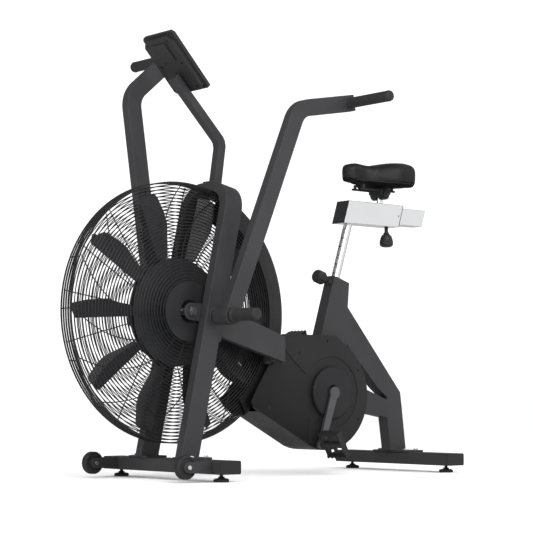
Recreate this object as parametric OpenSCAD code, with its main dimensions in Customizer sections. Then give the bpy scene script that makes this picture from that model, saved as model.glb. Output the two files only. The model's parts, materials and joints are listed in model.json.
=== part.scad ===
/* [Base] */
// Height of both stabilizer tubes above the floor, underside
base_z = 22; // [18:1:30]
// Fore-aft width of the stabilizer tubes
base_w = 75; // [70:1:80]
// Height of the stabilizer tubes
base_h = 38; // [34:1:40]
// Side-to-side length of the front stabilizer
front_len = 556; // [540:2:600]
// Side-to-side length of the rear stabilizer
rear_len = 508; // [480:2:540]
// Fore-aft position of the front stabilizer's middle
front_x = 336; // [330:1:342]
// Fore-aft position of the rear stabilizer's middle
rear_x = -592; // [-600:1:-584]
// Outer radius of the transport wheels
wheel_r = 33; // [28:1:34]

/* [Fan] */
// Fore-aft position of the fan axle
fan_x = 320; // [318:1:322]
// Height of the fan axle
fan_z = 485; // [480:1:490]
// Outer radius of the guard's rim hoops
rim_r = 383; // [378:1:386]
// Half width of the rim
rim_h = 23; // [20:1:25]
// Depth of the left guard at its hub plate
guard_left = 70; // [66:1:72]
// Depth of the right guard at its hub plate
guard_right = 46; // [44:1:47]
// Spacing of the guard rings
ring_step = 10; // [8:1:14]
// Radius of the guard wire
wire_r = 1.6; // [1.2:0.1:1.8]
// Number of spokes in each guard
spokes = 16; // [8:1:20]
// Number of fan blades
blades = 10; // [6:1:12]
// Radius of the blade tips
tip_r = 354; // [330:1:356]

/* [Frame] */
// Rearward lean of the fork legs in degrees
fork_lean = 12.36; // [12:0.01:12.7]
// Outer half width of the fork
fork_y = 112; // [110:1:114]
// Thickness of a fork leg, side to side
leg_t = 30; // [28:1:30]
// Depth of a fork leg, fore and aft
leg_w = 62; // [58:1:64]
// Side-to-side thickness of the rear frame tubes
spine_t = 42; // [40:1:44]
// Rearward lean of the seat tube in degrees
seat_lean = 17.5; // [17:0.1:18]
// Fore-aft position of the crank axle
crank_x = -238; // [-242:1:-234]
// Height of the crank axle
crank_z = 250; // [248:1:254]
// Length of a crank arm, axle to pedal
crank_len = 165; // [155:1:170]

/* [Handles] */
// Fore-aft position of the handle pivot
pivot_x = 258; // [256:1:260]
// Height of the handle pivot
pivot_z = 472; // [470:1:474]
// Distance of each handle bar's middle from the mid plane
handle_y = 177; // [174:1:180]
// Rearward lean of the left handle, in degrees
left_lean = 22.6; // [22:0.1:23]
// Rearward lean of the right handle, in degrees
right_lean = -8.3; // [-8.8:0.1:-7.8]
// Length of a handle bar from its pivot to its bend
bar_len = 680; // [660:5:700]
// Length of the bar's rearward end section
bar_top = 226; // [210:2:240]
// Angle of the bend at the top of the bar
bar_bend = 57; // [54:1:60]
// Outside radius of the rubber hand grips
grip_r = 16.5; // [15:0.5:18]

/* [Seat] */
// Fore-aft position of the seat slider box, front end at mid height
box_x = -345; // [-350:1:-340]
// Length of the seat slider box
box_len = 240; // [230:1:250]
// Radius of the seat post
post_r = 13.5; // [13:0.1:14]
// Height of the top of the saddle
saddle_z = 985; // [975:1:995]

/* [Hidden] */
$fn = 48;
frame_grey = [0.19, 0.19, 0.20];
dark = [0.08, 0.08, 0.085];
shell_grey = [0.15, 0.15, 0.155];
chrome = [0.82, 0.83, 0.85];
vinyl_black = [0.05, 0.05, 0.055];
fit = 0.05;
gap = 0.3;
base_top = base_z + base_h;
plate_t = 6;
leg_z = base_top + plate_t;
leg_x = front_x + 11;
bracket_t = 6;
axle_r = 10;
bearing_r = 21;
bearing_w = 12;
belt_y = -56;
belt_w = 12;
drive_r = 105;
fan_pulley_r = 32;
belt_t = 4;
casing_y = 66;
casing_x = -222;
casing_z = 245;
casing_r = 172;
wall = 3.5;
arm_y = 80;
arm_t = 14;
crank_tilt = 18.3;
pedal_axle_r = 7;
seat_x = -321;
seat_z = 577;
post_ahead = 13;
seat_mouth = 36;
pin_s = 14;
pocket = 250;
box_z = 789;
box_h = 73;
box_w = 54;
box_wall = 4;
saddle_x = -353;
clamp_x = -516;
clamp_z = 893;

// Points of a circular arc from angle a to angle b
function arc(x, y, r, a, b, n = 10) =
  [for (i = [0:n]) [x + r * cos(a + (b - a) * i / n), y + r * sin(a + (b - a) * i / n)]];
// Height of the guard's surface above the mid plane at radius r, for a hub depth of h
function dome(r, h) = rim_h + (h - rim_h) * pow(max(0, 1 - pow(r / rim_r, 2)), 0.7);
// Point on the seat tube's middle line at height z
function seat_at(z) = seat_x - (z - seat_z) * tan(seat_lean);

// A round bar along Y from y0 to y1
module bar_y(x, z, r, y0, y1) {
  translate([x, y0, z]) rotate([-90, 0, 0]) cylinder(r = r, h = y1 - y0);
}
// A profile drawn in X and Z, given thickness along Y from y0 to y1
module slab_y(y0, y1) {
  translate([0, y1, 0]) rotate([90, 0, 0]) linear_extrude(y1 - y0) children();
}
// A rectangle with rounded corners, middle at the origin
module soft_rect(w, h, r) {
  polygon(concat(
    arc(w / 2 - r, h / 2 - r, r, 0, 90, 6),
    arc(r - w / 2, h / 2 - r, r, 90, 180, 6),
    arc(r - w / 2, r - h / 2, r, 180, 270, 6),
    arc(w / 2 - r, r - h / 2, r, 270, 360, 6)));
}
// Both sides of the machine
module both() {
  children();
  mirror([0, 1, 0]) children();
}
// A hexagon-head bolt pointing down at the origin, head above z = 0
module bolt(r, l) {
  cylinder(r = r * 1.8, h = r * 1.2, $fn = 6);
  translate([0, 0, -l]) cylinder(r = r, h = l + 0.1);
}

module stabilizer(x, len) {
  difference() {
    translate([x, len / 2, base_z + base_h / 2]) rotate([90, 0, 0])
      linear_extrude(len) difference() {
        soft_rect(base_w, base_h, 5);
        soft_rect(base_w - 6, base_h - 6, 3);
      }
    for (s = [-1, 1]) translate([x, s * foot_y(len), base_z - 1]) cylinder(r = 5.1, h = 8);
  }
}
function foot_y(len) = len / 2 - 38;
module front_stabilizer() { color(frame_grey) stabilizer(front_x, front_len); }
module rear_stabilizer() { color(frame_grey) stabilizer(rear_x, rear_len); }

module stabilizer_end_caps() {
  color(dark) both() for (p = [[front_x, front_len], [rear_x, rear_len]])
    translate([p[0], p[1] / 2 + 4, base_z + base_h / 2]) rotate([90, 0, 0]) {
      linear_extrude(4 - gap / 3) soft_rect(base_w, base_h, 5);
      linear_extrude(14) difference() {
        soft_rect(base_w - 6.4, base_h - 6.4, 2.8);
        soft_rect(base_w - 14, base_h - 14, 2);
      }
    }
}

// Hexagon bolts of the base plates, the fan brackets, the frame flanges and the wheels
module frame_bolts() {
  base_bolts();
  bracket_bolts();
  wheel_axle_bolts();
}
module base_bolts() {
  color(chrome) both() {
    for (dx = [-26, 26]) translate([front_x + dx, fork_y + 26, base_top + plate_t])
      bolt(4, plate_t - 0.2);
    for (dx = [-24, 24]) translate([rear_x + dx, 58, base_top + plate_t]) bolt(4, plate_t - 0.2);
  }
}

// Fork carrying one transport wheel in front of the stabilizer
wheel_x = front_x + 116;
wheel_y = front_len / 2 - 53;
wheel_z = 43;
module wheel_brackets() {
  color(frame_grey) both() difference() {
    union() {
      for (dy = [-15, 15]) slab_y(wheel_y + dy - 2.5, wheel_y + dy + 2.5)
        polygon(concat([[front_x + base_w / 2 + gap, base_z + 2], [front_x + base_w / 2 + gap, base_top - 2]],
          arc(wheel_x, wheel_z, 15, 80, -80, 8)));
      translate([front_x + base_w / 2 + gap, wheel_y - 15, base_z + 2]) cube([6, 30, base_h - 4]);
    }
    bar_y(wheel_x, wheel_z, 4.1, wheel_y - 30, wheel_y + 30);
  }
}
module wheel_axle_bolts() {
  color(chrome) both() {
    bar_y(wheel_x, wheel_z, 4, wheel_y - 21, wheel_y + 18);
    translate([wheel_x, wheel_y + 17.8, wheel_z]) rotate([-90, 0, 0]) cylinder(r = 7, h = 5, $fn = 6);
    translate([wheel_x, wheel_y - 23.5, wheel_z]) rotate([-90, 0, 0]) cylinder(r = 7, h = 5.5, $fn = 6);
  }
}
module wheel(y) {
  translate([wheel_x, y, wheel_z]) rotate([-90, 0, 0]) rotate_extrude()
    polygon([[4.06, -11], [14, -11], [15, -9], [25, -9], [27, -11.5], [wheel_r - 3, -11.5],
      [wheel_r, -8], [wheel_r, 8], [wheel_r - 3, 11.5], [27, 11.5], [25, 9], [15, 9],
      [14, 11], [4.06, 11]]);
}
module wheel_left() { color(dark) wheel(wheel_y); }
module wheel_right() { color(dark) wheel(-wheel_y); }

// Threaded levelling foot with its pad on the floor
module foot(x, y) {
  color(dark) translate([x, y, 0]) rotate_extrude()
    polygon([[0, 0], [21, 0], [22, 2], [22, 7], [20, 9], [11, 11], [9, 12], [9, 15], [5, 15],
      [5, base_z + 12], [0, base_z + 12]]);
}
module foot_front_left() { foot(front_x, foot_y(front_len)); }
module foot_front_right() { foot(front_x, -foot_y(front_len)); }
module foot_rear_left() { foot(rear_x, foot_y(rear_len)); }
module foot_rear_right() { foot(rear_x, -foot_y(rear_len)); }

// Outline of the fork from the front, with rounded top corners
fork_s = 824;
arch_t = 28;
module arch(y, top, r) {
  polygon(concat([[y, 0], [y, top - r]], arc(y - r, top - r, r, 0, 90), arc(r - y, top - r, r, 90, 180), [[-y, 0]]));
}
module fork_frame() {
  color(frame_grey) difference() {
    union() {
      translate([leg_x, 0, leg_z]) rotate([0, -fork_lean, 0]) translate([leg_w / 2, 0, -8])
        rotate([0, 0, 90]) rotate([90, 0, 0]) translate([0, 0, -leg_w]) linear_extrude(leg_w) difference() {
          arch(fork_y, fork_s + 8, 84);
          translate([0, -1]) arch(fork_y - leg_t, fork_s + 9 - arch_t, 58);
        }
      both() translate([front_x - base_w / 2, fork_y - leg_t - 18, base_top]) cube([base_w, leg_t + 58, plate_t]);
      both() bar_y(pivot_x, pivot_z, 27, fork_y - 1, fork_y + 12);
    }
    translate([front_x - 150, -200, base_top - 40]) cube([300, 400, 40]);
    both() bar_y(pivot_x, pivot_z, 12.05, fork_y - 12, fork_y + 20);
    bar_y(fan_x, fan_z, rim_r + 2, -rim_h - 4, rim_h + 4);
    both() for (dx = [-26, 26]) translate([front_x + dx, fork_y + 26, base_top - 1]) cylinder(r = 4.1, h = plate_t + 2);
  }
}

// Fixed axles the handles swing on, with the knuckle's cover plate and two bolts
module pivot_axles() {
  color(chrome) both() {
    bar_y(pivot_x, pivot_z, 12, fork_y - 11.9, 224);
    for (a = [60, 120, 240, 300])
      translate([pivot_x + 20 * cos(a), fork_y + 12 + gap, pivot_z + 20 * sin(a)]) rotate([-90, 0, 0])
        cylinder(r = 5, h = 4, $fn = 6);
  }
}
peg_y = 202;
peg_end = 305;
module foot_pegs() {
  color(dark) both() translate([pivot_x, peg_y, pivot_z]) rotate([-90, 0, 0]) difference() {
    rotate_extrude() polygon(concat([[0, 0], [24, 0], [24, 6], [18, 8]],
      [for (i = [0:11]) each [[18, 12 + i * 7], [18, 15 + i * 7], [17, 16 + i * 7], [17, 18 + i * 7]]],
      [[18, peg_end - peg_y - 4], [14, peg_end - peg_y], [0, peg_end - peg_y]]));
    translate([0, 0, -1]) cylinder(r = 12.05, h = 224 - peg_y + 1.5);
  }
}

// Plates that hold the fan axle ahead of the fork legs
module axle_brackets() {
  color(frame_grey) both() difference() {
    slab_y(fork_y - leg_t - gap - bracket_t, fork_y - leg_t - gap)
      polygon(concat([[fan_x - 84, fan_z - 34]], arc(fan_x, fan_z, 25, -80, 80, 12), [[fan_x - 92, fan_z + 22]]));
    bar_y(fan_x, fan_z, axle_r + fit, 60, 100);
  }
}
module bracket_bolts() {
  color(chrome) both() {
    for (p = [[-66, -14], [-70, 8]])
      translate([fan_x + p[0], fork_y - leg_t - gap - bracket_t, fan_z + p[1]]) rotate([90, 0, 0])
        cylinder(r = 6, h = 2.8, $fn = 6);
    for (z = [405, 467])
      translate([fork_rear(z) - 8, rail_y + rail_t / 2, z]) rotate([0, -90 - fork_lean, 0])
        translate([0, 0, 0.05]) cylinder(r = 5.5, h = 4, $fn = 6);
  }
}
// Fore-aft position of the fork legs' rear face at height z
function fork_rear(z) = leg_x - leg_w / 2 / cos(fork_lean) - (z - leg_z) * tan(fork_lean);

// Welded rear frame: side rails, cross tube, seat tube, rear tubes and bottom bracket
rail_y = 84;
rail_t = 26;
// Inner stays that carry the rails past the guard to the cross tube
stay_y0 = 48;
stay_y1 = 62;
stay_z0 = 336;
stay_z1 = 388;
module rail_outline() {
  polygon([[fork_rear(412) - 8, 412], [fork_rear(456) - 8, 456], [195, 462], [150, 466], [108, 460],
    [-13, 418], [-13, 341]]);
}
module flange_outline() {
  polygon([[fork_rear(398) - 8, 398], [fork_rear(398) - 1, 398], [fork_rear(474) - 1, 474], [fork_rear(474) - 8, 474]]);
}
module spine_outline() {
  polygon([[seat_at(crank_z) + 34, crank_z], [seat_at(608) + 33.5, 619], [seat_at(598) - 32, 598], [-353, 521],
    [-584, 252], [-608, base_top + plate_t], [-540, base_top + plate_t], [-525, 171], [-426, 188],
    [crank_x - 20, crank_z - 24]]);
}
// The seat tube's own frame: Z runs up its middle line
module on_seat() {
  translate([seat_x, 0, seat_z]) rotate([0, -seat_lean, 0]) children();
}
module main_frame() {
  color(frame_grey) difference() {
    union() {
      slab_y(-spine_t / 2, spine_t / 2) difference() {
        spine_outline();
        polygon([[-395, 275], [-525, 227], [-524, 236], [-482, 268], [-345, 405]]);
      }
      slab_y(-spine_t / 2, spine_t / 2)
        polygon([[seat_at(260), 226], [-70, 318], [-70, stay_z1], [-106, stay_z1], [seat_at(330), 310]]);
      bar_y(crank_x, crank_z, 30, -42, 42);
      both() slab_y(rail_y, rail_y + rail_t) rail_outline();
      both() slab_y(rail_y, rail_y + rail_t) flange_outline();
      translate([-106, -stay_y1, stay_z0]) cube([36, 2 * stay_y1, stay_z1 - stay_z0]);
      both() translate([-106, stay_y0, stay_z0]) cube([126, stay_y1 - stay_y0, stay_z1 - stay_z0]);
      both() translate([0, stay_y0, stay_z0 + 8]) cube([20, rail_y + 1 - stay_y0, stay_z1 - stay_z0]);
      translate([rear_x - base_w / 2, -78, base_top]) cube([base_w, 156, plate_t]);
      on_seat() translate([26, 0, pin_s]) rotate([0, 90, 0]) cylinder(r = 12, h = 20);
    }
    bar_y(crank_x, crank_z, bearing_r + fit, -43, 43);
    on_seat() translate([-28, -17, -pocket]) cube([56, 34, pocket + 150]);
    on_seat() translate([0, 0, pin_s]) rotate([0, 90, 0]) cylinder(r = 6.1, h = 80);
    for (s = [-1, 1], dx = [-24, 24]) translate([rear_x + dx, s * 58, base_top - 1]) cylinder(r = 4.1, h = plate_t + 2);
  }
}

// Moves its children onto the seat post's tilted line; z = 0 is where it leaves the seat tube
module on_post() {
  on_seat() translate([post_ahead, 0, seat_mouth]) children();
}
module seat_tube_bush() {
  color(dark) on_post() difference() {
    translate([-28 - post_ahead + 0.2, -16.8, -70]) cube([55.6, 33.6, 66]);
    translate([0, 0, -80]) cylinder(r = post_r + fit, h = 100);
    translate([0, 0, pin_s - seat_mouth]) rotate([0, 90, 0]) cylinder(r = 6.1, h = 60);
  }
}
module seat_post() {
  color(chrome) on_post() difference() {
    translate([0, 0, -190]) cylinder(r = post_r, h = 190 + 188);
    for (i = [0:8]) translate([0, 0, 128 - i * 30]) rotate([0, 90, 0]) cylinder(r = 5.3, h = 40);
  }
}
// Spring pin in the front of the seat tube, with its pull knob
module height_knob() {
  color(dark) on_post() translate([0, 0, pin_s - seat_mouth]) rotate([0, 90, 0]) {
    translate([0, 0, post_r + 0.2]) cylinder(r = 5, h = 42);
    difference() {
      translate([0, 0, 36]) rotate_extrude()
        polygon([[0, 0], [11, 0], [11, 6], [15, 8], [21, 16], [21, 40], [18, 45], [11, 46], [0, 46]]);
      for (a = [0:45:315]) translate([23.5 * cos(a), 23.5 * sin(a), 46]) cylinder(r = 5, h = 40);
    }
  }
}

// Side view of the casing, drawn in by d from its outer edge
module casing_outline(d = 0) {
  polygon(concat([[-44 - 0.7 * d, 428 - d], [-262 + 0.2 * d, 428 - d]],
    arc(casing_x, casing_z, casing_r - d, 118, 292, 24),
    [[72, 206 + d], [82 - d, 222], [62 - d, 258], [4 - d, 346]]));
}
// One half of the casing, on the side of positive Y
module casing_half() {
  difference() {
    union() {
      slab_y(gap / 2, casing_y) casing_outline();
      slab_y(casing_y - 1, casing_y + 2) difference() {
        casing_outline(7);
        translate([crank_x, crank_z]) circle(r = 112);
        polygon([[80, 490], [-141, 301], [-150, 200], [-150, 40], [150, 40], [150, 490]]);
      }
    }
    slab_y(-1, casing_y - wall) casing_outline(wall);
    bar_y(fan_x, fan_z, 397, -1, 58);
    bar_y(crank_x, crank_z, 34, 0, casing_y + 1);
    slab_y(-1, spine_t / 2 + 0.5) offset(delta = 0.6) spine_outline();
    translate([-110, -1, stay_z0 - 2]) cube([160, stay_y1 + 1.5, stay_z1 - stay_z0 + 4]);
    translate([-1, stay_y0 - 1, stay_z0 - 2]) cube([60, 60, stay_z1 - stay_z0 + 14]);
    for (p = screw_at) bar_y(p[0], p[1], 4.2, casing_y - 3, casing_y + 3);
  }
}
screw_at = [[-106, 371], [-222, 410], [-352, 320], [-350, 165], [-175, 92], [10, 205]];
module casing_left() { color(shell_grey) casing_half(); }
module casing_right() {
  color(shell_grey) difference() {
    mirror([0, 1, 0]) casing_half();
    slab_y(belt_y - belt_w / 2 - 3, belt_y + belt_w / 2 + 3)
      hull() {
        translate([crank_x, crank_z]) circle(r = drive_r + belt_t + 5);
        translate([fan_x, fan_z]) circle(r = fan_pulley_r + belt_t + 5);
      }
  }
}
module casing_screws() {
  color(dark) both() for (p = screw_at) bar_y(p[0], p[1], 3.9, casing_y - 2.8, casing_y - 1);
}

module ring_y(x, z, r, bore, y0, y1) {
  difference() {
    bar_y(x, z, r, y0, y1);
    bar_y(x, z, bore, y0 - 1, y1 + 1);
  }
}
module crank_bearings() {
  color(chrome) both() ring_y(crank_x, crank_z, bearing_r, axle_r + fit, 29, 41);
}
module crank_axle() {
  color(chrome) bar_y(crank_x, crank_z, axle_r, -arm_y - arm_t / 2 - 1, arm_y + arm_t / 2 + 1);
}
module drive_pulley() {
  color(dark) difference() {
    bar_y(crank_x, crank_z, drive_r, belt_y - belt_w / 2, belt_y + belt_w / 2);
    bar_y(crank_x, crank_z, axle_r + fit, -100, 0);
    for (a = [0:60:300]) bar_y(crank_x + 62 * cos(a), crank_z + 62 * sin(a), 22, -100, 0);
  }
}
module drive_belt() {
  color(dark) slab_y(belt_y - belt_w / 2, belt_y + belt_w / 2) difference() {
    hull() {
      translate([crank_x, crank_z]) circle(r = drive_r + belt_t, $fn = 72);
      translate([fan_x, fan_z]) circle(r = fan_pulley_r + belt_t, $fn = 72);
    }
    hull() {
      translate([crank_x, crank_z]) circle(r = drive_r + 0.4, $fn = 72);
      translate([fan_x, fan_z]) circle(r = fan_pulley_r + 0.4, $fn = 72);
    }
  }
}
// Crank arm pointing down and forward at positive Y
pedal_x = crank_x + crank_len * sin(crank_tilt);
pedal_z = crank_z - crank_len * cos(crank_tilt);
module crank_arm() {
  difference() {
    union() {
      bar_y(crank_x, crank_z, 19, arm_y - arm_t / 2, arm_y + arm_t / 2);
      bar_y(pedal_x, pedal_z, 14.5, arm_y - arm_t / 2, arm_y + arm_t / 2);
      translate([crank_x, 0, crank_z]) rotate([0, -crank_tilt, 0]) slab_y(arm_y - arm_t / 2 + 1, arm_y + arm_t / 2 - 1)
        polygon([[-13.5, -12], [13.5, -12], [10, -crank_len + 8], [-10, -crank_len + 8]]);
    }
    bar_y(crank_x, crank_z, axle_r + fit, 0, 200);
    bar_y(pedal_x, pedal_z, pedal_axle_r + fit, 0, 200);
  }
}
// Turns its children half a turn about the crank axle and mirrors them to the right side
module other_side() {
  translate([2 * crank_x, 0, 2 * crank_z]) mirror([1, 0, 0]) mirror([0, 1, 0]) mirror([0, 0, 1]) children();
}
module crank_arm_left() { color(chrome * 0.55) crank_arm(); }
module crank_arm_right() { color(chrome * 0.55) other_side() crank_arm(); }
// Round dished cover that turns with the crank, slotted for the arm
module crank_cover() {
  difference() {
    translate([crank_x, casing_y + 1, crank_z]) rotate([-90, 0, 0]) rotate_extrude()
      polygon([[axle_r + 14, 9], [76, 9], [78, 7], [78, 0], [81, 0], [81, 8], [77, 12], [axle_r + 14, 12]]);
    translate([crank_x, 0, crank_z]) rotate([0, -crank_tilt, 0]) translate([-19, casing_y, -120]) cube([38, 40, 120]);
    bar_y(crank_x, crank_z, 24, casing_y, casing_y + 30);
  }
}
module crank_cover_left() { color(shell_grey) crank_cover(); }
module crank_cover_right() { color(shell_grey) other_side() crank_cover(); }
// Cage pedal on its own spindle, level across the spindle
pedal_y = arm_y + arm_t / 2 + 5;
pedal_hang = 61;
module pedal() {
  difference() {
    union() {
      bar_y(pedal_x, pedal_z, 11, pedal_y, pedal_y + 88);
      translate([pedal_x, 0, pedal_z]) rotate([0, -pedal_hang, 0]) {
        for (s = [-1, 1]) translate([s * 38 - 3, pedal_y + 4, -11]) cube([6, 84, 22]);
        for (y = [4, 82]) translate([-38, pedal_y + y, -9]) cube([76, 6, 18]);
        for (s = [-1, 1], i = [0:4]) translate([s * 38 - 3, pedal_y + 10 + i * 16, -16]) cube([6, 6, 32]);
        translate([-38, pedal_y + 38, -4]) cube([76, 10, 8]);
      }
    }
    bar_y(pedal_x, pedal_z, pedal_axle_r + fit, pedal_y - 1, pedal_y + 78);
  }
}
module spindle() { bar_y(pedal_x, pedal_z, pedal_axle_r, arm_y - arm_t / 2 - 3, pedal_y + 74); }
module pedal_left() { color(dark) pedal(); }
module pedal_right() { color(dark) other_side() pedal(); }
module pedal_spindles() {
  color(chrome) {
    spindle();
    other_side() spindle();
  }
}

module fan_axle() {
  color(chrome) {
    bar_y(fan_x, fan_z, axle_r, -fork_y + 16, fork_y - 16);
    both() difference() {
      translate([fan_x, fork_y - leg_t + 0.1, fan_z]) rotate([-90, 0, 0]) cylinder(r = 15, h = 9, $fn = 6);
      bar_y(fan_x, fan_z, axle_r - 0.5, 60, 100);
    }
  }
}
module fan_bearings() {
  color(chrome) {
    ring_y(fan_x, fan_z, bearing_r, axle_r + fit, 28, 40);
    ring_y(fan_x, fan_z, bearing_r, axle_r + fit, -40, -28);
  }
}
module fan_hub() {
  color(dark) difference() {
    union() {
      bar_y(fan_x, fan_z, 26, -42, 42);
      bar_y(fan_x, fan_z, fan_pulley_r, belt_y - belt_w / 2, belt_y + belt_w / 2);
      bar_y(fan_x, fan_z, 18, belt_y + belt_w / 2 - 1, -41);
      for (y = [-9, 13]) bar_y(fan_x, fan_z, 158, y, y + 3);
    }
    bar_y(fan_x, fan_z, 14, -100, 100);
    bar_y(fan_x, fan_z, bearing_r + fit, 27.5, 60);
    bar_y(fan_x, fan_z, bearing_r + fit, -40.5, -27.5);
  }
}
// One folded paddle blade standing on the hub, with its root between the two hub plates
module blade() {
  intersection() {
    translate([0, 0, 159]) linear_extrude(tip_r - 159)
      polygon([[-44, -27], [-41, -27], [8, 3], [-41, 31], [-44, 31], [5, 3]]);
    translate([-50, 0, 0]) rotate([90, 0, 90]) linear_extrude(70)
      polygon([[-28, 150], [32, 150], [32, 280], [27, tip_r + 1], [-21, tip_r + 1], [-28, 280]]);
    slab_y(-40, 40)
      polygon([[-16, 150], [-44, 262], [-44, tip_r - 26], [-34, tip_r - 6], [-22, tip_r + 1], [12, tip_r + 1], [12, 150]]);
  }
  translate([2.8, -5.7, 40]) cube([2, 18.4, 124]);
}
module fan_blades() {
  color([0.12, 0.12, 0.13]) for (i = [0:blades - 1])
    translate([fan_x, 0, fan_z]) rotate([0, i * 360 / blades + 21, 0]) blade();
}

module guard_rings(h) {
  for (r = [92:ring_step:373])
    translate([fan_x, dome(r, h), fan_z]) rotate([-90, 0, 0]) rotate_extrude($fn = 60)
      translate([r, 0]) circle(r = wire_r, $fn = 6);
}
module guard_rings_left() { color(dark) guard_rings(guard_left); }
module guard_rings_right() { color(dark) mirror([0, 1, 0]) guard_rings(guard_right); }
// A bent wire lying just inside the guard's surface; sweep is its turn about the axle
module spoke(h, a, sweep) {
  n = 12;
  m = 6;
  r0 = 80;
  r1 = rim_r - 6;
  pts = [for (i = [0:n]) let (t = i / n, r = r0 + (r1 - r0) * t, b = a + sweep * pow(t, 1.3))
    [r * cos(b), dome(r, h) - 2 * wire_r - 0.5, r * sin(b), b]];
  polyhedron(
    points = [for (p = pts, j = [0:m - 1]) [
      p[0] - wire_r * cos(360 * j / m) * sin(p[3]), p[1] + wire_r * sin(360 * j / m),
      p[2] + wire_r * cos(360 * j / m) * cos(p[3])]],
    faces = concat(
      [[for (j = [0:m - 1]) j]],
      [for (i = [0:n - 1], j = [0:m - 1]) let (k = (j + 1) % m)
        [i * m + j, i * m + m + j, i * m + m + k, i * m + k]],
      [[for (j = [m - 1:-1:0]) n * m + j]]));
}
module guard_spokes(h, sweep) {
  translate([fan_x, 0, fan_z]) for (i = [0:spokes - 1]) spoke(h, i * 360 / spokes + 8, sweep);
}
module guard_spokes_left() { color(dark) guard_spokes(guard_left, 38); }
module guard_spokes_right() { color(dark) mirror([0, 1, 0]) guard_spokes(guard_right, 0); }
module guard_hub_plates() {
  color(dark) {
    ring_y(fan_x, fan_z, 88, 34, guard_left - 0.6, guard_left + 2.4);
    ring_y(fan_x, fan_z, 88, 34, -guard_right - 2.4, -guard_right + 0.6);
  }
}
// Five hoops side by side, tied by a short bar at each spoke
module guard_rim() {
  color(dark) translate([fan_x, 0, fan_z]) {
    rotate([-90, 0, 0]) for (i = [-2:2]) rotate_extrude($fn = 120)
      translate([rim_r - 4, i * rim_h / 2 - 1.5]) square([4, 3]);
    for (i = [0:spokes - 1]) rotate([0, i * 360 / spokes, 0]) translate([rim_r - 3.6, -rim_h, -1.5]) cube([3, 2 * rim_h, 3]);
  }
}
// Hollow fender round the rear half of the guard
module wind_shroud() {
  color(shell_grey) translate([fan_x, 0, fan_z]) rotate([-90, 0, 0]) rotate_extrude(angle = 113, start = 129, $fn = 120)
    polygon([[325, 47.6], [345, 47.4], [372, 42], [386, 34], [391, 20], [391, -20], [386, -34], [372, -40],
      [345, -44], [325, -44], [325, -41.5], [345, -41.5], [371, -37.5], [384, -32], [388.5, -19], [388.5, 19],
      [384, 32], [371, 39.5], [345, 45], [325, 45.6]]);
}

// Handle bar in its own upright frame, pivot at the origin, on the left side
bar_w = 50;
bar_t = 30;
bend_r = 70;
tangent = bend_r * tan(bar_bend / 2);
module bar_outline(w) {
  polygon(concat([[w / 2, 0]], arc(-bend_r, bar_len - tangent, bend_r + w / 2, 0, bar_bend),
    [[-bar_top * sin(bar_bend) + w / 2 * cos(bar_bend), bar_len + bar_top * cos(bar_bend) + w / 2 * sin(bar_bend)],
     [-bar_top * sin(bar_bend) - w / 2 * cos(bar_bend), bar_len + bar_top * cos(bar_bend) - w / 2 * sin(bar_bend)]],
    arc(-bend_r, bar_len - tangent, bend_r - w / 2, bar_bend, 0), [[-w / 2, 0]]));
}
// Middle of the hand grip in the bar's frame
grip_s = [-(bar_top - 22) * sin(bar_bend), bar_len + (bar_top - 22) * cos(bar_bend)];
grip_y0 = handle_y + bar_t / 2;
module handle() {
  difference() {
    union() {
      slab_y(handle_y - bar_t / 2, handle_y + bar_t / 2) bar_outline(bar_w);
      bar_y(0, 0, 28, fork_y + 22, handle_y + bar_t / 2 + 6);
      bar_y(grip_s[0], grip_s[1], 12.5, grip_y0 - 1, grip_y0 + 176);
      bar_y(grip_s[0], grip_s[1], 18.5, grip_y0 - 1, grip_y0 + 8);
    }
    bar_y(0, 0, 12.05, 100, 300);
  }
}
module grip() {
  translate([grip_s[0], grip_y0 + 9, grip_s[1]]) rotate([-90, 0, 0]) difference() {
    rotate_extrude() polygon([[0, 0], [18, 0], [18, 4], [grip_r, 7], [grip_r, 160], [17.2, 164], [15.5, 170], [11, 173], [0, 174]]);
    translate([0, 0, -1]) cylinder(r = 12.55, h = 168.5);
  }
}
module on_pivot(lean) {
  translate([pivot_x, 0, pivot_z]) rotate([0, -lean, 0]) children();
}
module handle_left() { color(frame_grey) on_pivot(left_lean) handle(); }
module handle_right() { color(frame_grey) on_pivot(right_lean) mirror([0, 1, 0]) handle(); }
module grip_left() { color(dark) on_pivot(left_lean) grip(); }
module grip_right() { color(dark) on_pivot(right_lean) mirror([0, 1, 0]) grip(); }

// Square console post: rises from the arch, bends forward and carries the console
post_w = 28;
post_base_x = fork_rear(872) + 31;
module console_post() {
  color(frame_grey) {
    slab_y(-post_w / 2, post_w / 2) polygon([
      [post_base_x + 13, 876], [166, 985], [169, 1000], [176, 1009], [337, 1172],
      [319, 1190], [150, 1019], [143, 1007], [140, 990], [post_base_x - 13, 870.5]]);
    translate([leg_x, 0, leg_z]) rotate([0, -fork_lean, 0]) translate([-28, -24, fork_s + gap]) cube([56, 48, 5]);
  }
}
// The console's own frame: X runs up its face, Z points away from the face
module on_console() {
  translate([322, 0, 1224]) rotate([0, -47, 0]) children();
}
console_l = 205;
console_w = 146;
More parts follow.
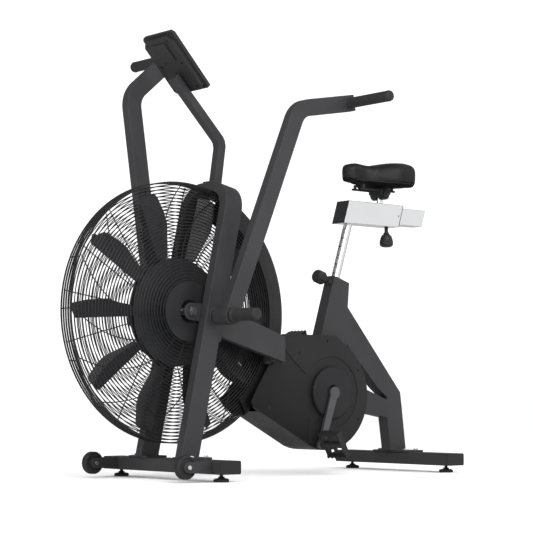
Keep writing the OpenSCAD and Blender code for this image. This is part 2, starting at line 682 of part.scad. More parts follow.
// Console outline drawn in by d, with corners cut by c
module console_outline(d, c) {
  x = console_l / 2 - d;
  y = console_w / 2 - d;
  polygon([[x, c - y], [x, y - c], [x - c, y], [c / 2 - x, y], [-x, y - c / 2],
    [-x, c / 2 - y], [c / 2 - x, -y], [x - c, -y]]);
}
module console_body() {
  color(dark) on_console() difference() {
    union() {
      linear_extrude(11) console_outline(0, 9);
      translate([0, 0, -3]) linear_extrude(4) console_outline(4, 12);
      translate([0, 0, -15]) linear_extrude(13) console_outline(7, 20);
      translate([14, -34, -19]) cube([64, 68, 5]);
    }
    translate([0, 0, 8]) linear_extrude(4) soft_rect(console_l - 12, console_w - 12, 12);
    for (x = [-82, 2, 80], y = [-48, 48]) translate([x, y, -16]) cylinder(r = 3.5, h = 6);
  }
}
button_y = [36, 0, -36];
module console_face() {
  color(vinyl_black) on_console() difference() {
    translate([0, 0, 8 + gap]) linear_extrude(5) soft_rect(console_l - 13, console_w - 13, 11.5);
    translate([18, 0, 12.6]) linear_extrude(2) soft_rect(104, 106, 4);
    for (y = button_y) translate([-66, y, 0]) cylinder(r = 10.1, h = 20);
  }
}
module console_button(y) {
  color([0.5, 0.5, 0.52]) on_console() translate([-66, y, 9.5]) cylinder(r = 10, h = 6);
}
module console_button_1() { console_button(button_y[0]); }
module console_button_2() { console_button(button_y[1]); }
module console_button_3() { console_button(button_y[2]); }

// Level seat slider with slanted ends, drawn from the side
module slider_outline(x0, x1, z0, z1) {
  polygon([[x0 - (z0 - 825) * tan(seat_lean), z0], [x0 - (z1 - 825) * tan(seat_lean), z1],
    [x1 - (z1 - 825) * tan(seat_lean), z1], [x1 - (z0 - 825) * tan(seat_lean), z0]]);
}
module slider_box() {
  color(chrome) difference() {
    slab_y(-box_w / 2, box_w / 2) slider_outline(box_x, box_x - box_len, box_z, box_z + box_h);
    slab_y(-box_w / 2 + box_wall, box_w / 2 - box_wall)
      slider_outline(box_x + 30, box_x - box_len - 30, box_z + box_wall, box_z + box_h - box_wall);
    translate([clamp_x - 62, -12, box_z + box_h - 10]) cube([128, 24, 30]);
    translate([-545, 0, box_z - 1]) cylinder(r = 6.1, h = 8);
    bar_y(box_x - box_len + 9, box_z + box_h / 2, 2.6, box_w / 2 - box_wall - 1, box_w / 2 + 1);
    on_post() cylinder(r = post_r + fit, h = 200);
  }
}
module slider_glides() {
  color(dark) {
    slab_y(-box_w / 2 + box_wall + 0.1, box_w / 2 - box_wall - 0.1)
      slider_outline(box_x + 1, box_x - 6, box_z + box_wall + 0.1, box_z + box_h - box_wall - 0.1);
    slab_y(-box_w / 2, box_w / 2) slider_outline(box_x + 4, box_x + 0.1, box_z, box_z + box_h);
    difference() {
      slab_y(-box_w / 2 + 0.5, box_w / 2 - 0.5)
        slider_outline(box_x - box_len - 0.1, box_x - box_len - 2.6, box_z + 0.5, box_z + box_h - 0.5);
      slab_y(-22.1, 22.1) slider_outline(box_x, box_x - box_len - 30, slide_z0 - 0.1, slide_z1 + 0.1);
    }
    for (s = [-1, 1]) slab_y(s * 17.5 - 5, s * 17.5 + 5)
      slider_outline(box_x - 60, box_x - box_len + 2, box_z + box_h - box_wall - 5, box_z + box_h - box_wall - 0.1);
    for (s = [-1, 1]) slab_y(s * 17.5 - 5, s * 17.5 + 5)
      slider_outline(box_x - 60, box_x - box_len + 2, box_z + box_wall + 0.1, box_z + box_wall + 5);
  }
}
slide_z0 = box_z + box_wall + 5.1;
slide_z1 = box_z + box_h - box_wall - 5.1;
slide_rear = -(fan_x + rim_r) + (slide_z1 - 825) * tan(seat_lean);
module slide_bar() {
  color(chrome) {
    difference() {
      slab_y(-22, 22) slider_outline(-475, slide_rear, slide_z0, slide_z1);
      slab_y(-19, 19) slider_outline(-470, slide_rear + 3, slide_z0 + 3, slide_z1 - 3);
    }
    difference() {
      translate([clamp_x, 0, slide_z1 - 1]) cylinder(r = 9.5, h = clamp_z + 9 - slide_z1);
      translate([clamp_x - 20, -20, clamp_z + 7]) cube([40, 40, 10]);
      bar_y(clamp_x, clamp_z, 4 + fit, -20, 20);
    }
  }
}
module slide_knob() {
  color(dark) translate([-545, 0, 0]) {
    translate([0, 0, 765]) cylinder(r = 6, h = slide_z0 - 765 - 0.2);
    difference() {
      translate([0, 0, 724]) rotate_extrude() polygon([[0, 0], [12, 0], [19, 3], [22, 8], [22, 20], [17, 36], [9, 44], [9, 48], [0, 48]]);
      for (a = [0:60:300]) translate([25.5 * cos(a), 25.5 * sin(a), 720]) cylinder(r = 5.5, h = 34);
    }
  }
}

// Padded saddle, narrow at the front, on two rails held by the clamp
module saddle() {
  color(vinyl_black) hull() {
    translate([saddle_x - 32, 0, saddle_z - 58]) cylinder(r = 32, h = 50, $fn = 32);
    for (s = [-1, 1]) translate([saddle_x - 198, s * 52, saddle_z - 70]) cylinder(r = 58, h = 60, $fn = 32);
    translate([saddle_x - 60, 0, saddle_z - 30]) cylinder(r = 26, h = 22, $fn = 32);
    for (s = [-1, 1]) translate([saddle_x - 200, s * 56, saddle_z - 20]) cylinder(r = 48, h = 20, $fn = 32);
  }
}
module saddle_clamp() {
  color(chrome) {
    for (s = [-1, 1]) {
      translate([saddle_x - 60, s * 20, clamp_z + 12]) rotate([0, -90, 0]) cylinder(r = 3.5, h = 150);
      translate([saddle_x - 72, s * 20, clamp_z + 12]) cylinder(r = 5, h = 15);
      translate([saddle_x - 198, s * 20, clamp_z + 12]) cylinder(r = 5, h = 9.7);
    }
    difference() {
      union() {
        bar_y(clamp_x, clamp_z, 17, -28, 28);
        translate([clamp_x - 22, -28, clamp_z]) cube([44, 56, 16]);
        both() bar_y(clamp_x, clamp_z, 12, 28.5, 33);
      }
      bar_y(clamp_x, clamp_z, 4.1, -40, 40);
      translate([clamp_x, 0, clamp_z - 20]) cylinder(r = 12.5, h = 50);
    }
    bar_y(clamp_x, clamp_z, 4, -36, 36);
  }
}

front_stabilizer();
rear_stabilizer();
stabilizer_end_caps();
frame_bolts();
wheel_brackets();
wheel_left();
wheel_right();
foot_front_left();
foot_front_right();
foot_rear_left();
foot_rear_right();
fork_frame();
pivot_axles();
foot_pegs();
axle_brackets();
main_frame();
seat_tube_bush();
casing_left();
casing_right();
casing_screws();
crank_bearings();
crank_axle();
drive_pulley();
crank_arm_left();
crank_arm_right();
crank_cover_left();
crank_cover_right();
pedal_left();
pedal_right();
pedal_spindles();
drive_belt();
fan_axle();
fan_hub();
fan_bearings();
fan_blades();
guard_rings_left();
guard_rings_right();
guard_spokes_left();
guard_spokes_right();
guard_hub_plates();
guard_rim();
wind_shroud();
handle_left();
handle_right();
grip_left();
grip_right();
console_post();
console_body();
console_face();
console_button_1();
console_button_2();
console_button_3();
seat_post();
slider_box();
slider_glides();
slide_bar();
height_knob();
slide_knob();
saddle();
saddle_clamp();
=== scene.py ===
import bpy, bmesh, json, math
import numpy as np
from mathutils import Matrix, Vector
from mathutils.bvhtree import BVHTree


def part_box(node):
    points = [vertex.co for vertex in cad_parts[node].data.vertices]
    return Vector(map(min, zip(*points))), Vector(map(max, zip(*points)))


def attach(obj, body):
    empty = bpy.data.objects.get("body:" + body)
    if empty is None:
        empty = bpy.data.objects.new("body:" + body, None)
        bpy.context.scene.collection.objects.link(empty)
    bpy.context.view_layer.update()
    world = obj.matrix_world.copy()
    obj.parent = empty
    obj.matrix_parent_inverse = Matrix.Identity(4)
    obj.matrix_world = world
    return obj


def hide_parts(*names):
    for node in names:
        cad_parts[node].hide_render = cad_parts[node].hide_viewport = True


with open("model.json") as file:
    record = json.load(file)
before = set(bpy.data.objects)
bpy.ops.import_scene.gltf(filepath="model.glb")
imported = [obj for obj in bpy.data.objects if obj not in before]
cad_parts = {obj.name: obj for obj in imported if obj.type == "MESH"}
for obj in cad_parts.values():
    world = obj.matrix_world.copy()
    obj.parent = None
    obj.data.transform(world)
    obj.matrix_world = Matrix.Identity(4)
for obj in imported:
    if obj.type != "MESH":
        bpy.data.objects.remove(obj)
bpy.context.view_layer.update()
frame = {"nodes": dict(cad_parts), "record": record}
SCENE = bpy.context.scene
MM = 0.001
MIX_A, MIX_B, MIX_RESULT = 6, 7, 2  # the colour sockets of a Mix node set to RGBA


# ---------------------------------------------------------------- materials

class Shader:
    """A Principled material built from a few procedural layers, in object coordinates (metres)."""

    def __init__(self, name):
        self.mat = bpy.data.materials.new(name)
        self.mat.use_nodes = True
        self.tree = self.mat.node_tree
        self.bsdf = self.tree.nodes["Principled BSDF"]
        self.coord = self.tree.nodes.new("ShaderNodeTexCoord").outputs["Object"]

    def node(self, kind, **settings):
        n = self.tree.nodes.new(kind)
        for key, value in settings.items():
            setattr(n, key, value)
        return n

    def link(self, a, b):
        self.tree.links.new(a, b)

    def noise(self, scale, detail=4.0, stretch=(1, 1, 1)):
        mapping = self.node("ShaderNodeMapping")
        mapping.inputs["Scale"].default_value = stretch
        self.link(self.coord, mapping.inputs["Vector"])
        n = self.node("ShaderNodeTexNoise")
        n.inputs["Scale"].default_value = scale
        n.inputs["Detail"].default_value = detail
        self.link(mapping.outputs[0], n.inputs["Vector"])
        return n.outputs["Fac"]

    def cells(self, scale):
        n = self.node("ShaderNodeTexVoronoi", feature="DISTANCE_TO_EDGE")
        n.inputs["Scale"].default_value = scale
        self.link(self.coord, n.inputs["Vector"])
        return n.outputs["Distance"]

    def ramp(self, source, low, high, from_min=0.0, from_max=1.0):
        n = self.node("ShaderNodeMapRange")
        self.link(source, n.inputs["Value"])
        for key, value in (("From Min", from_min), ("From Max", from_max),
                           ("To Min", low), ("To Max", high)):
            n.inputs[key].default_value = value
        return n.outputs["Result"]

    def edge(self, radius):
        """Rounded-edge normal, and a mask that is 1 on edges and 0 on flat faces."""
        bevel = self.node("ShaderNodeBevel", samples=4)
        bevel.inputs["Radius"].default_value = radius
        geometry = self.node("ShaderNodeNewGeometry")
        dot = self.node("ShaderNodeVectorMath", operation="DOT_PRODUCT")
        self.link(bevel.outputs[0], dot.inputs[0])
        self.link(geometry.outputs["Normal"], dot.inputs[1])
        sharp, flat = 0.75, 0.97
        return bevel.outputs[0], self.ramp(dot.outputs["Value"], 1.0, 0.0, sharp, flat)

    def mix(self, fac, a, b):
        n = self.node("ShaderNodeMix", data_type="RGBA")
        self.link(fac, n.inputs[0])
        for socket, value in ((n.inputs[MIX_A], a), (n.inputs[MIX_B], b)):
            if isinstance(value, tuple):
                socket.default_value = (*value, 1)
            else:
                self.link(value, socket)
        return n.outputs[MIX_RESULT]

    def darken_lower_front(self, tone):
        """Multiplies tone by a painted shade, darker towards the lower front, that falls to a quarter
        towards +X and the floor.
        """
        start, end, darkest = -0.52, -0.12, (0.25, 0.25, 0.25)
        place = self.node("ShaderNodeSeparateXYZ")
        self.link(self.coord, place.inputs[0])
        x_minus_z = self.node("ShaderNodeMath", operation="SUBTRACT")
        self.link(place.outputs["X"], x_minus_z.inputs[0])
        self.link(place.outputs["Z"], x_minus_z.inputs[1])
        shade = self.mix(self.ramp(x_minus_z.outputs[0], 0, 1, start, end), (1, 1, 1), darkest)
        product = self.node("ShaderNodeMix", data_type="RGBA", blend_type="MULTIPLY")
        product.inputs[0].default_value = 1.0
        self.link(tone, product.inputs[MIX_A])
        self.link(shade, product.inputs[MIX_B])
        return product.outputs[MIX_RESULT]

    def bump(self, height, strength, depth, normal=None):
        n = self.node("ShaderNodeBump")
        n.inputs["Strength"].default_value = strength
        n.inputs["Distance"].default_value = depth
        self.link(height, n.inputs["Height"])
        if normal is not None:
            self.link(normal, n.inputs["Normal"])
        return n.outputs[0]


def times(colour, k):
    return tuple(min(1.0, c * k) for c in colour)


BROAD_SCALE, BROAD_DETAIL, BROAD_RANGE = 9.0, 5.0, (0.3, 0.7)
FINE_DETAIL, FINE_RANGE = 6.0, (0.35, 0.65)
CELL_WALL, CELL_STRENGTH, CELL_DEPTH = 0.25, 0.55, 0.35 * MM


def surface(name, colour, rough, grain, metallic=0.0, edge_wear_and_shade=1.6, round_edge=1.5 * MM,
            spread=0.12, stretch=(1, 1, 1), coat=0.0, cell=0.0, specular=0.5, painted_shade_lower_front=False):
    """A painted, plated or moulded surface.

    grain is (scale, strength, depth) of the fine bump, and stretch its proportions.
    The edge factor multiplies the colour at the edges: above 1 it lightens them as rubbed wear, and below 1
    it paints them dark as a painted dark reflection line.
    spread is how far broad patches vary the tone, and cell the scale of a moulded grain.
    """
    grain_scale, grain_strength, grain_depth = grain
    s = Shader(name)
    broad = s.noise(BROAD_SCALE, BROAD_DETAIL)
    fine = s.noise(grain_scale, FINE_DETAIL, stretch)
    normal, edge_wear_and_shade_mask = s.edge(round_edge)
    tone = s.mix(s.ramp(broad, 0, 1, *BROAD_RANGE), times(colour, 1 - spread), times(colour, 1 + spread))
    # Edge colour: rubbed wear lightens it where the edge factor is above 1, and a painted dark reflection
    # line darkens it where the factor is below 1.
    edge_wear_and_shade_colour = s.mix(s.ramp(fine, 0, 1, *FINE_RANGE),
                        times(colour, edge_wear_and_shade), times(colour, 1 + (edge_wear_and_shade - 1) / 2))
    # Painted shade: the tone darkens towards the lower front and the floor.
    if painted_shade_lower_front:
        tone = s.darken_lower_front(tone)
    s.link(s.mix(edge_wear_and_shade_mask, tone, edge_wear_and_shade_colour), s.bsdf.inputs["Base Color"])
    s.link(s.ramp(broad, rough - 0.07, rough + 0.09, *BROAD_RANGE), s.bsdf.inputs["Roughness"])
    s.bsdf.inputs["Metallic"].default_value = metallic
    s.bsdf.inputs["Coat Weight"].default_value = coat
    s.bsdf.inputs["Specular IOR Level"].default_value = specular
    if cell:
        walls = s.ramp(s.cells(cell), 0, 1, 0, CELL_WALL)
        normal = s.bump(walls, CELL_STRENGTH, CELL_DEPTH, normal)
    s.link(s.bump(fine, grain_strength, grain_depth, normal), s.bsdf.inputs["Normal"])
    return s.mat


LOOK = {
    "frame": surface("frame_powder_coat", (0.027, 0.027, 0.0285), 0.48, (1500, 0.35, 0.12 * MM),
                     edge_wear_and_shade=2.0, round_edge=3 * MM, specular=0.22),
    "trim": surface("moulded_trim", (0.014, 0.014, 0.015), 0.42, (2200, 0.4, 0.1 * MM),
                    edge_wear_and_shade=1.7, specular=0.25),
    # The shell's colour carries a painted shade, darker towards its lower front.
    "shell": surface("grained_shell", (0.014, 0.014, 0.015), 0.36, (1800, 0.45, 0.12 * MM),
                     edge_wear_and_shade=1.8, round_edge=3 * MM, cell=900, specular=0.18, painted_shade_lower_front=True),
    "rubber": surface("foam_rubber", (0.013, 0.013, 0.014), 0.66, (2600, 0.8, 0.2 * MM),
                      edge_wear_and_shade=1.4, round_edge=2 * MM, specular=0.35),
    # Chrome edges are painted nearly black, a painted dark reflection line along each edge.
    "chrome": surface("chrome_plate", (0.78, 0.785, 0.795), 0.13, (60, 0.06, 0.05 * MM),
                      metallic=1.0, edge_wear_and_shade=0.08, spread=0.03, round_edge=3.5 * MM),
    "crank": surface("crank_steel", (0.075, 0.075, 0.08), 0.36, (900, 0.3, 0.08 * MM),
                     metallic=0.6, edge_wear_and_shade=2.2, stretch=(1, 1, 8)),
    "wire": surface("wire_enamel", (0.011, 0.011, 0.012), 0.36, (1200, 0.2, 0.05 * MM),
                    edge_wear_and_shade=1.3, round_edge=0.5 * MM, specular=0.3),
    "blade": surface("blade_enamel", (0.022, 0.022, 0.024), 0.42, (1400, 0.3, 0.1 * MM),
                     edge_wear_and_shade=2.0, round_edge=0.8 * MM, specular=0.25),
    "steel": surface("turned_steel", (0.5, 0.5, 0.51), 0.28, (700, 0.35, 0.06 * MM),
                     metallic=1.0, edge_wear_and_shade=1.1, stretch=(1, 10, 1)),
    "belt": surface("belt_rubber", (0.02, 0.02, 0.02), 0.62, (900, 0.8, 0.2 * MM),
                    edge_wear_and_shade=1.5, stretch=(1, 6, 1)),
    "vinyl": surface("saddle_vinyl", (0.006, 0.006, 0.0065), 0.22, (1500, 0.22, 0.10 * MM),
                     edge_wear_and_shade=1.2, specular=0.22, cell=520, round_edge=1 * MM),
    "underside": surface("saddle_shell_plastic", (0.003, 0.003, 0.003), 0.7, (900, 0.5, 0.15 * MM),
                         edge_wear_and_shade=1.3, specular=0.06),
    "screen": surface("screen_glass", (0.012, 0.012, 0.014), 0.12, (300, 0.05, 0.02 * MM),
                      edge_wear_and_shade=1.4, coat=0.5),
    "button": surface("button_rubber", (0.17, 0.17, 0.175), 0.55, (2000, 0.6, 0.12 * MM), edge_wear_and_shade=1.3),
}
DARK_STEEL_NODES = {"fan_axle", "crank_axle"}


def paint(obj, look):
    obj.data.materials.clear()
    obj.data.materials.append(LOOK[look])


for part in frame["record"]["subparts"]:
    node = frame["nodes"].get(part["node"])
    look = "crank" if part["node"] in DARK_STEEL_NODES else part["material_slot"]
    if node is not None:
        slots = node.data.materials
        if len(slots) == 0:
            slots.append(LOOK[look])
        for i in range(len(slots)):
            slots[i] = LOOK[look]


# ---------------------------------------------------------------- helpers

def piece(name, verts, faces, look, body, replaces=()):
    """A smooth-shaded visual mesh that rides on body and may replace CAD nodes."""
    mesh = bpy.data.meshes.new(name)
    mesh.from_pydata([tuple(v) for v in verts], [], faces)
    mesh.validate()
    obj = bpy.data.objects.new(name, mesh)
    SCENE.collection.objects.link(obj)
    mesh.polygons.foreach_set("use_smooth", [True] * len(mesh.polygons))
    paint(obj, look)
    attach(obj, body)
    if replaces:
        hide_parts(*replaces)


def tube(points, radius, sides, closed):
    """Vertices and faces of a round wire through points; closed joins its ends."""
    pts = [Vector(p) for p in points]
    n = len(pts)
    verts, faces = [], []
    for i, p in enumerate(pts):
        before = pts[(i - 1) % n] if closed or i else p
        after = pts[(i + 1) % n] if closed or i < n - 1 else p
        along = (after - before).normalized()
        side = along.cross(Vector((0, 1, 0)) if abs(along.y) < 0.9 else Vector((1, 0, 0))).normalized()
        up = along.cross(side)
        for j in range(sides):
            a = 2 * math.pi * j / sides
            verts.append(p + radius * (math.cos(a) * side + math.sin(a) * up))
    for i in range(n if closed else n - 1):
        for j in range(sides):
            k, m = (j + 1) % sides, (i + 1) % n
            faces.append((i * sides + j, m * sides + j, m * sides + k, i * sides + k))
    if not closed:
        faces.append(tuple(range(sides)))
        faces.append(tuple((n - 1) * sides + j for j in reversed(range(sides))))
    return verts, faces


def gather(parts):
    """Joins (verts, faces) pairs into one pair."""
    verts, faces = [], []
    for v, f in parts:
        base = len(verts)
        verts += v
        faces += [tuple(base + i for i in face) for face in f]
    return verts, faces


def evaluated(obj):
    """A new mesh with obj's modifiers applied."""
    graph = bpy.context.evaluated_depsgraph_get()
    return bpy.data.meshes.new_from_object(obj.evaluated_get(graph))


def apply_modifiers(obj):
    mesh = evaluated(obj)
    obj.modifiers.clear()
    obj.data = mesh
    return mesh


# ---------------------------------------------------------------- fan guard

rim_lo, rim_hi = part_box("guard_rim")
plate_lo, plate_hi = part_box("guard_hub_plates")
FAN = Vector(((rim_lo.x + rim_hi.x) / 2, 0, (rim_lo.z + rim_hi.z) / 2))
RIM_R = (rim_hi.x - rim_lo.x) / 2
RIM_H = rim_hi.y - 1.5 * MM
PLATE_TO_WIRE = 2.4 * MM
DOME_POWER = 0.7
WIRE_R = 1.6 * MM
WIRE_SIDES = 8
FIRST_RING, LAST_RING, RING_STEP = 92 * MM, 373 * MM, 10 * MM
RING_SEGMENT, LEAST_SEGMENTS = 16 * MM, 48
SPOKES, SPOKE_PARTS = 16, 24
SPOKE_START, SPOKE_REACH = 80 * MM, RIM_R - 86 * MM
SPOKE_PHASE = 8
SWEEP_POWER = 1.3
SPOKE_BEHIND_RINGS = 3.7 * MM
LEFT_SWEEP, RIGHT_SWEEP = 38, 0


def dome(r, depth):
    """Distance of the guard's wires from the mid plane at radius r."""
    return RIM_H + (depth - RIM_H) * max(0.0, 1 - (r / RIM_R) ** 2) ** DOME_POWER


def on_guard(r, a, y):
    """The point at radius r and angle a round the fan's axis, y from the mid plane."""
    return FAN + Vector((r * math.cos(a), y, r * math.sin(a)))


def guard(side, depth, sweep, name):
    """Round wires of one guard, on the same lines as the CAD rings and spokes.

    sweep is how many degrees a spoke turns from the hub to the rim.
    """
    rings = []
    r = FIRST_RING
    while r < LAST_RING:
        y = side * dome(r, depth)
        count = max(LEAST_SEGMENTS, int(2 * math.pi * r / RING_SEGMENT))
        line = [on_guard(r, 2 * math.pi * i / count, y) for i in range(count)]
        rings.append(tube(line, WIRE_R, WIRE_SIDES, True))
        r += RING_STEP
    v, f = gather(rings)
    piece("guard_ring_wires_" + name, v, f, "wire", "frame", replaces=("guard_rings_" + name,))
    spokes = []
    for k in range(SPOKES):
        line = []
        for i in range(SPOKE_PARTS + 1):
            t = i / SPOKE_PARTS
            r = SPOKE_START + SPOKE_REACH * t
            a = math.radians(k * 360 / SPOKES + SPOKE_PHASE + sweep * t ** SWEEP_POWER)
            line.append(on_guard(r, a, side * (dome(r, depth) - SPOKE_BEHIND_RINGS)))
        spokes.append(tube(line, WIRE_R, WIRE_SIDES, False))
    v, f = gather(spokes)
    piece("guard_spoke_wires_" + name, v, f, "wire", "frame", replaces=("guard_spokes_" + name,))


guard(1, plate_hi.y - PLATE_TO_WIRE, LEFT_SWEEP, "left")
guard(-1, -plate_lo.y - PLATE_TO_WIRE, RIGHT_SWEEP, "right")


# ---------------------------------------------------------------- saddle

pad_lo, pad_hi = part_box("saddle")
PAD_LEN = pad_hi.x - pad_lo.x
PAD_HALF = pad_hi.y
PAD_MARGIN = 3 * MM
NOSE_HALF, TAIL_GAIN = 34 * MM, PAD_HALF - 37 * MM
WIDENS_FROM, WIDENS_TO = 0.18, 0.72
NOSE_ROUND, TAIL_FROM, TAIL_ROUND = 0.16, 0.82, 0.18
DIP_DEPTH, DIP_AT, DIP_WIDTH = 9 * MM, 0.38, 0.15
TOP_PROUD, NOSE_DROP, TAIL_RISE = 2 * MM, 6 * MM, 5 * MM
SIDES_HANG, NOSE_LIFT = 10 * MM, 6 * MM
STATIONS, AROUND = 44, 40
HOLLOW_DEPTH = 16 * MM
FULL_HEIGHT_HALF = 26 * MM
SIDE_POWER, TOP_POWER, BOTTOM_POWER = 0.5, 0.68, 0.42
VOXEL = 5 * MM
CLOTH_CAP, CLOTH_FRAMES = 5 * MM, 20
SEAM_AT, SEAM_POINTS, SEAM_DEPTH, SEAM_WIDTH = 0.66, 70, 1.6 * MM, 3 * MM
STITCH_R, STITCH_SINK = 0.45 * MM, 0.7 * MM
WELT_POINTS, WELT_R, WELT_SINK = 120, 1.3 * MM, 0.5 * MM
UNDERSIDE_HEIGHT, UNDERSIDE_NORMAL = 26 * MM, -0.35


def smoothstep(a, b, t):
    """0 at a and 1 at b; a may be the larger."""
    t = min(1.0, max(0.0, (t - a) / (b - a)))
    return t * t * (3 - 2 * t)


def half_width(t):
    """Half width of the pad at t, 0 at the nose and 1 at the tail."""
    body = NOSE_HALF + TAIL_GAIN * smoothstep(WIDENS_FROM, WIDENS_TO, t)
    nose = math.sqrt(max(0.0, 1 - (1 - min(1, t / NOSE_ROUND)) ** 2))
    tail = math.sqrt(max(0.0, 1 - max(0.0, (t - TAIL_FROM) / TAIL_ROUND) ** 3.0))
    return body * nose * tail


def top_z(t):
    dip = DIP_DEPTH * math.exp(-((t - DIP_AT) / DIP_WIDTH) ** 2)
    nose = NOSE_DROP * smoothstep(0.6, 0.0, t)
    return pad_hi.z + TOP_PROUD - dip - nose + TAIL_RISE * smoothstep(0.45, 0.9, t)


def bottom_z(t):
    hang = SIDES_HANG * smoothstep(0.3, 0.6, t)
    return pad_lo.z - hang + NOSE_LIFT * smoothstep(0.35, 0.10, t)


def pad_start():
    """The pad's closed skin before it is smoothed: rings of points from nose to tail."""
    verts, faces = [], []
    for i in range(STATIONS + 1):
        t = 0.004 + 0.992 * i / STATIONS
        x = pad_hi.x - PAD_MARGIN - (PAD_LEN - 2 * PAD_MARGIN) * t
        end = min(1.0, half_width(t) / FULL_HEIGHT_HALF)
        thin = 0.80 + 0.20 * end if t > 0.5 else 0.55 + 0.45 * end
        mid = (top_z(t) + bottom_z(t)) / 2
        half = (top_z(t) - bottom_z(t)) / 2 * thin
        for j in range(AROUND):
            a = 2 * math.pi * j / AROUND
            c, s = math.cos(a), math.sin(a)
            hollow = HOLLOW_DEPTH * smoothstep(0.8, 0.4, abs(c)) * smoothstep(-0.3, -0.8, s) * end
            y = half_width(t) * math.copysign(abs(c) ** SIDE_POWER, c)
            z = mid + half * math.copysign(abs(s) ** (TOP_POWER if s > 0 else BOTTOM_POWER), s)
            tuck = 1 - 0.05 * smoothstep(0.0, -0.9, s)
            verts.append((x, y * tuck, z + hollow))
    for i in range(STATIONS):
        here, there = i * AROUND, (i + 1) * AROUND
        for j in range(AROUND):
            k = (j + 1) % AROUND
            faces.append((here + j, here + k, there + k, there + j))
    faces.append(tuple(range(AROUND))[::-1])
    faces.append(tuple(STATIONS * AROUND + j for j in range(AROUND)))
    mesh = bpy.data.meshes.new("pad_start")
    mesh.from_pydata(verts, [], faces)
    bm = bmesh.new()
    bm.from_mesh(mesh)
    bmesh.ops.recalc_face_normals(bm, faces=bm.faces)
    bm.to_mesh(mesh)
    bm.free()
    return mesh


def coords(mesh):
    co = np.zeros(len(mesh.vertices) * 3)
    mesh.vertices.foreach_get("co", co)
    return co.reshape(-1, 3)


def inflate(obj, cap):
    """Blows the cover up with Blender's cloth, then keeps at most cap of each point's travel."""
    start = coords(obj.data)
    cloth = obj.modifiers.new("Cloth", "CLOTH")
    cloth.settings.use_pressure = True
    cloth.settings.uniform_pressure_force = 4.0
    cloth.settings.tension_stiffness = 12
    cloth.settings.compression_stiffness = 12
    cloth.settings.bending_stiffness = 2
    cloth.settings.effector_weights.gravity = 0.0
    for f in range(1, CLOTH_FRAMES + 1):
        SCENE.frame_set(f)
    moved = coords(evaluated(obj)) - start
    obj.modifiers.remove(cloth)
    SCENE.frame_set(1)
    length = np.linalg.norm(moved, axis=1, keepdims=True)
    moved *= np.minimum(1.0, cap / np.maximum(length, 1e-9))
    obj.data.vertices.foreach_set("co", (start + moved).ravel())
    obj.data.update()


def press_seam(co, line):
    """Presses the rows of co down where they are near the points of line."""
    pts = np.array(line)
    block_size = 4000
    for i in range(0, len(co), block_size):
        block = co[i:i + block_size]
        near = np.linalg.norm(block[:, None, :] - pts[None, :, :], axis=2).min(axis=1)
        block[:, 2] -= SEAM_DEPTH * np.exp(-(near / SEAM_WIDTH) ** 2)


def seam_line(skin, side):
    """Points on top of the pad along one of its two seams."""
    line = []
    for i in range(SEAM_POINTS):
        t = 0.06 + 0.88 * i / (SEAM_POINTS - 1)
        above = Vector((pad_hi.x - PAD_LEN * t, side * SEAM_AT * half_width(t), 2.0))
        hit = skin.ray_cast(above, Vector((0, 0, -1)))[0]
        if hit is not None:
            line.append(tuple(hit))
    return line


def stitches(seams):
    threads = []
    sink = Vector((0, 0, -STITCH_SINK))
    for line in seams:
        for here, there in zip(line, line[1:]):
            a, b = Vector(here), Vector(there)
            threads.append(tube([a.lerp(b, 0.15) + sink, a.lerp(b, 0.75) + sink], STITCH_R, 6, False))
    v, f = gather(threads)
    piece("saddle_stitches", v, f, "trim", "seat")


def welt(skin):
    """The cord round the lower edge, found by rays from a point inside the pad."""
    line = []
    for i in range(WELT_POINTS):
        a = 2 * math.pi * i / WELT_POINTS
        centre = Vector((pad_lo.x + 0.42 * PAD_LEN, 0, pad_lo.z + 9 * MM))
        away = Vector((math.cos(a), math.sin(a), 0))
        hit = skin.ray_cast(centre + Vector((0, 0, 7 * MM * max(0, math.cos(a)))), away)[0]
        if hit is not None:
            line.append(hit - WELT_SINK * away)
    v, f = tube(line, WELT_R, 8, True)
    piece("saddle_welt", v, f, "trim", "seat")


def build_saddle():
    obj = bpy.data.objects.new("saddle_cover", pad_start())
    SCENE.collection.objects.link(obj)
    remesh = obj.modifiers.new("Remesh", "REMESH")
    remesh.mode = "VOXEL"
    remesh.voxel_size = VOXEL
    apply_modifiers(obj)
    inflate(obj, CLOTH_CAP)
    subdivision = obj.modifiers.new("Subdivision", "SUBSURF")
    subdivision.levels = 1
    mesh = apply_modifiers(obj)
    skin = BVHTree.FromPolygons([v.co.copy() for v in mesh.vertices], [p.vertices[:] for p in mesh.polygons])
    seams = [seam_line(skin, side) for side in (-1, 1)]
    co = coords(mesh)
    for line in seams:
        press_seam(co, line)
    low = np.array([pad_lo.x, -PAD_HALF, pad_lo.z - 12 * MM]) + 0.3 * MM
    high = np.array([pad_hi.x, PAD_HALF, pad_hi.z + 8 * MM]) + 2 * MM
    mesh.vertices.foreach_set("co", np.clip(co, low, high).ravel())
    mesh.update()
    mesh.polygons.foreach_set("use_smooth", [True] * len(mesh.polygons))
    paint(obj, "vinyl")
    mesh.materials.append(LOOK["underside"])
    for face in mesh.polygons:
        low_down = face.center.z < pad_lo.z + UNDERSIDE_HEIGHT
        face.material_index = 1 if face.normal.z < UNDERSIDE_NORMAL and low_down else 0
    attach(obj, "seat")
    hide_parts("saddle")
    stitches(seams)
    welt(skin)


build_saddle()


# ---------------------------------------------------------------- stage, light and camera

WHITE_LEVEL = 1.2
FLOOR_HALF = 40
MIRRORED_FLOOR = (0.42, 0.42, 0.42)


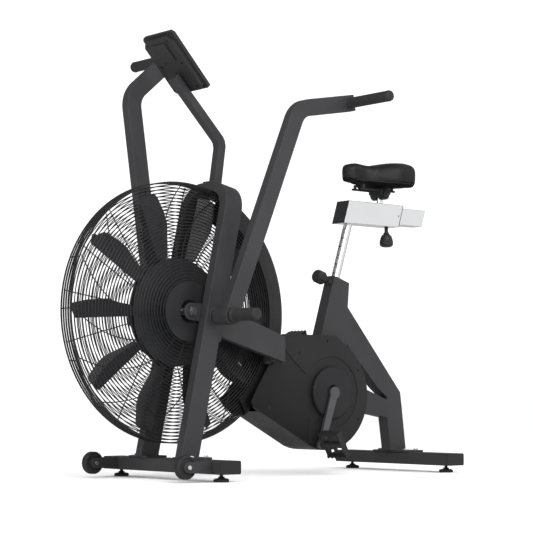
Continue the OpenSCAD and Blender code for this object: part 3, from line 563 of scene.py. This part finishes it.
def floor():
    """A pale floor, darker in reflections so that the chrome shows against it."""
    e = FLOOR_HALF
    mesh = bpy.data.meshes.new("studio_floor")
    mesh.from_pydata([(-e, -e, 0), (e, -e, 0), (e, e, 0), (-e, e, 0)], [], [(0, 1, 2, 3)])
    obj = bpy.data.objects.new("studio_floor", mesh)
    SCENE.collection.objects.link(obj)
    s = Shader("pale_floor")
    pale = s.mix(s.noise(2.0), (0.86, 0.86, 0.86), (0.9, 0.9, 0.9))
    mirrored = s.node("ShaderNodeLightPath").outputs["Is Glossy Ray"]
    s.link(s.mix(mirrored, pale, MIRRORED_FLOOR), s.bsdf.inputs["Base Color"])
    s.bsdf.inputs["Roughness"].default_value = 0.9
    mesh.materials.append(s.mat)


def area_light(name, location, target, size, power):
    data = bpy.data.lights.new(name, "AREA")
    data.size = size
    data.energy = power
    obj = bpy.data.objects.new(name, data)
    obj.location = location
    obj.rotation_euler = (Vector(target) - Vector(location)).to_track_quat("-Z", "Y").to_euler()
    SCENE.collection.objects.link(obj)
    return obj


def studio_world():
    """Plain white, but graded from right to left for glossy rays."""
    world = bpy.data.worlds.new("studio")
    world.use_nodes = True
    tree = world.node_tree
    plain = tree.nodes["Background"]
    plain.inputs["Color"].default_value = (1, 1, 1, 1)
    plain.inputs["Strength"].default_value = WHITE_LEVEL
    graded = tree.nodes.new("ShaderNodeBackground")
    place = tree.nodes.new("ShaderNodeTexCoord")
    split = tree.nodes.new("ShaderNodeSeparateXYZ")
    bands = tree.nodes.new("ShaderNodeValToRGB")
    right, left = bands.color_ramp.elements[0], bands.color_ramp.elements[1]
    right.position, right.color = 0.0, (0.14, 0.14, 0.145, 1)
    left.position, left.color = 1.0, (0.95, 0.95, 0.95, 1)
    for position, value in ((0.30, 0.35), (0.44, 0.08), (0.54, 0.60), (0.72, 0.98)):
        bands.color_ramp.elements.new(position).color = (value, value, value, 1)
    spread_y = tree.nodes.new("ShaderNodeMapRange")
    spread_y.inputs["From Min"].default_value = -1.0
    spread_y.inputs["From Max"].default_value = 1.0
    path = tree.nodes.new("ShaderNodeLightPath")
    choice = tree.nodes.new("ShaderNodeMixShader")
    tree.links.new(place.outputs["Generated"], split.inputs[0])
    tree.links.new(split.outputs["Y"], spread_y.inputs["Value"])
    tree.links.new(spread_y.outputs["Result"], bands.inputs[0])
    tree.links.new(bands.outputs[0], graded.inputs["Color"])
    tree.links.new(path.outputs["Is Glossy Ray"], choice.inputs[0])
    tree.links.new(plain.outputs[0], choice.inputs[1])
    tree.links.new(graded.outputs[0], choice.inputs[2])
    tree.links.new(choice.outputs[0], tree.nodes["World Output"].inputs["Surface"])
    return world


floor()
SCENE.world = studio_world()
SCENE.view_settings.view_transform = "Standard"
area_light("key", (1.2, 3.6, 2.8), (0, 0, 0.6), 2.2, 110)
area_light("front", (4.2, 0.6, 1.6), (0, 0, 0.6), 2.0, 60)
rear_light = area_light("rear", (-3.4, 2.2, 2.2), (-0.3, 0, 0.6), 1.6, 50)
rear_light.visible_glossy = False

# The camera comes from a fit to the photograph.
YAW, PITCH = 4.0105, 0.0737
EYE = (3.3967, 4.0560, 0.2444)
FOCAL_PIXELS, IMAGE_PIXELS = 1734.84, 533
SENSOR = 36
camera_data = bpy.data.cameras.new("camera")
camera_data.sensor_width = SENSOR
camera_data.lens = SENSOR * FOCAL_PIXELS / IMAGE_PIXELS
camera = bpy.data.objects.new("camera", camera_data)
camera.location = EYE
aim = Vector((math.cos(PITCH) * math.cos(YAW), math.cos(PITCH) * math.sin(YAW), math.sin(PITCH)))
camera.rotation_euler = aim.to_track_quat("-Z", "Y").to_euler()
SCENE.collection.objects.link(camera)
bpy.context.scene.camera = camera
